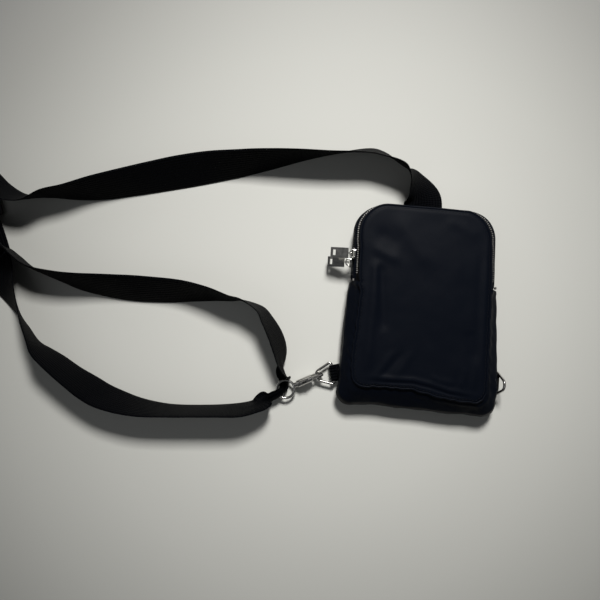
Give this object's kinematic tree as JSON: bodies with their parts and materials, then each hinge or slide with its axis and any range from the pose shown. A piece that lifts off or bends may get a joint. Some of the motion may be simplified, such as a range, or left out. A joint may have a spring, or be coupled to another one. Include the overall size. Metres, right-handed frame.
{
  "type": "phone pouch",
  "caption": "Slim black nylon phone pouch with two curved metal zips, side rings, a swivel snap hook and a wide adjustable webbing shoulder strap, lying on its back.",
  "frame": {"origin": "centre of the pouch's back face, on the surface it lies on", "axes": "+X across the pouch to the right side seen from the front, +Y towards the pouch's top edge, +Z out of the back panel towards the front panel, up from the surface"},
  "size_m": [0.5582, 0.2753, 0.045],
  "materials": {
    "nylon": "smooth coated twill, soft sheen",
    "webbing": "fine ribbed weave, slight sheen",
    "nickel": "polished plating",
    "zip_metal": "bright metal teeth",
    "foam": "closed cell foam",
    "black_metal": "satin black coat"
  },
  "bodies": {
    "pouch": {"back_panel": "nylon", "back_foam": "foam", "lower_gusset": "nylon", "rear_band": "nylon", "divider_panel": "nylon", "middle_band": "nylon", "front_band": "nylon", "front_panel": "nylon", "rear_zip_tapes": "webbing", "front_zip_tapes": "webbing", "rear_zip_teeth": "zip_metal", "front_zip_teeth": "zip_metal", "zip_end_stops": "zip_metal", "left_tab": "webbing", "right_tab": "webbing", "strap_anchor": "webbing", "strap_upper_run": "webbing", "strap_lower_run": "webbing", "strap_eye_fold": "webbing", "strap_return_run": "webbing", "strap_end_sleeve": "webbing", "strap_glide": "black_metal", "swivel_eye": "nickel"},
    "rear_slider": {"rear_slider": "nickel"},
    "rear_pull": {"rear_pull": "nickel"},
    "front_slider": {"front_slider": "nickel"},
    "front_pull": {"front_pull": "nickel"},
    "left_ring": {"left_ring": "nickel"},
    "right_ring": {"right_ring": "nickel"},
    "hook": {"hook_body": "nickel"},
    "latch": {"hook_latch": "nickel"}
  },
  "joints": [
    {"name": "rear_zip_slide", "type": "slide", "parent": "pouch", "child": "rear_slider", "axis": [0, 1, 0], "range_m": [-0.01, 0.022]},
    {"name": "rear_pull_swing", "type": "hinge", "parent": "rear_slider", "child": "rear_pull", "pos_m": [-0.07477, 0.042, 0.018], "axis": [0, 1, 0], "range_deg": [-20, 40]},
    {"name": "front_zip_slide", "type": "slide", "parent": "pouch", "child": "front_slider", "axis": [0, 1, 0], "range_m": [-0.018, 0.014]},
    {"name": "front_pull_swing", "type": "hinge", "parent": "front_slider", "child": "front_pull", "pos_m": [-0.07185, 0.05, 0.028], "axis": [0, 1, 0], "range_deg": [-12, 60]},
    {"name": "left_ring_swing", "type": "hinge", "parent": "pouch", "child": "left_ring", "pos_m": [-0.0806, -0.0676, 0.0075], "axis": [-0.225, 0.9744, 0], "range_deg": [-3.5, 3.5]},
    {"name": "right_ring_swing", "type": "hinge", "parent": "pouch", "child": "right_ring", "pos_m": [0.0806, -0.0676, 0.0075], "axis": [0, 1, 0], "range_deg": [-8, 85]},
    {"name": "hook_swivel", "type": "hinge", "parent": "pouch", "child": "hook", "pos_m": [-0.09707, -0.0714, 0.0075], "axis": [0.891, 0.454, 0], "range_deg": [-15, 15]},
    {"name": "latch_slide", "type": "slide", "parent": "hook", "child": "latch", "axis": [-0.891, -0.454, 0], "range_m": [0, 0.0045], "stiffness_N_per_m": 200}
  ]
}
